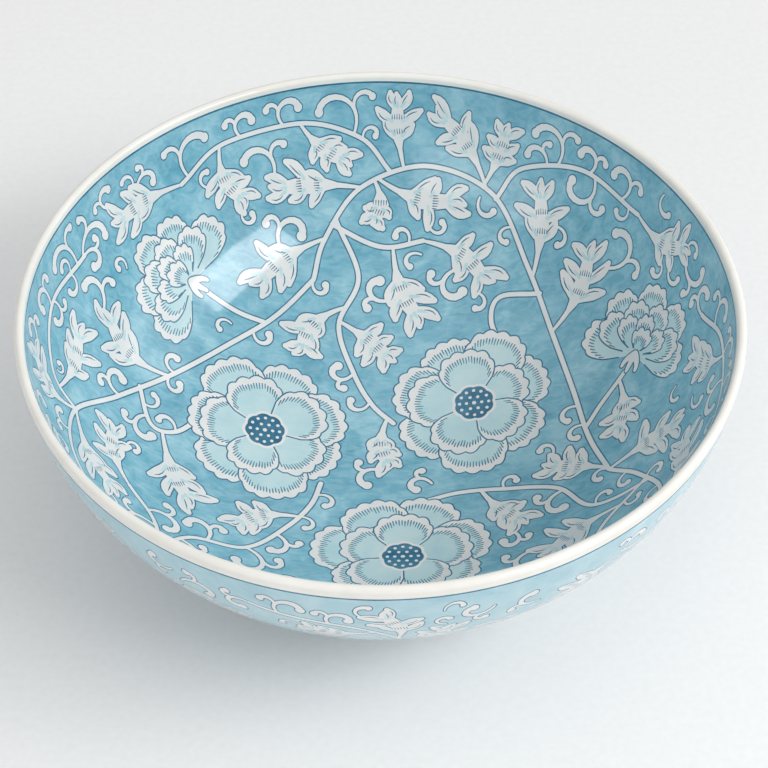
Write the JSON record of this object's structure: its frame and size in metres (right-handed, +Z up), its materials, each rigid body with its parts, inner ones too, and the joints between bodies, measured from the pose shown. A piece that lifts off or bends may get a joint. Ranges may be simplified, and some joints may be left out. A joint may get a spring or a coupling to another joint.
{
  "type": "porcelain serving bowl",
  "caption": "Round porcelain serving bowl with a rounded white lip, a smooth curved wall and a low foot ring, painted inside and out with a scrolling flower pattern.",
  "frame": {"origin": "centre of the foot ring's contact circle, on the table plane", "axes": "+Z up along the bowl's turning axis; +X and +Y are free choices for the round form"},
  "size_m": [0.305, 0.305, 0.116],
  "materials": {
    "clay": "fired unglazed porcelain",
    "wash_blue": "glossy clear glaze over a mottled pale blue wash",
    "reserve_white": "glossy clear glaze over bare white porcelain",
    "petal_tint": "glossy clear glaze over a thin blue tint",
    "ink_line": "glossy clear glaze over dark blue line work",
    "rim_white": "glossy warm white glaze",
    "base_white": "glossy clear glaze over white porcelain"
  },
  "bodies": {
    "bowl": {"bowl_body": "clay", "foot_ring": "clay", "inner_glaze": "wash_blue", "outer_glaze": "wash_blue", "rim_glaze": "rim_white", "base_glaze": "base_white"}
  },
  "joints": []
}
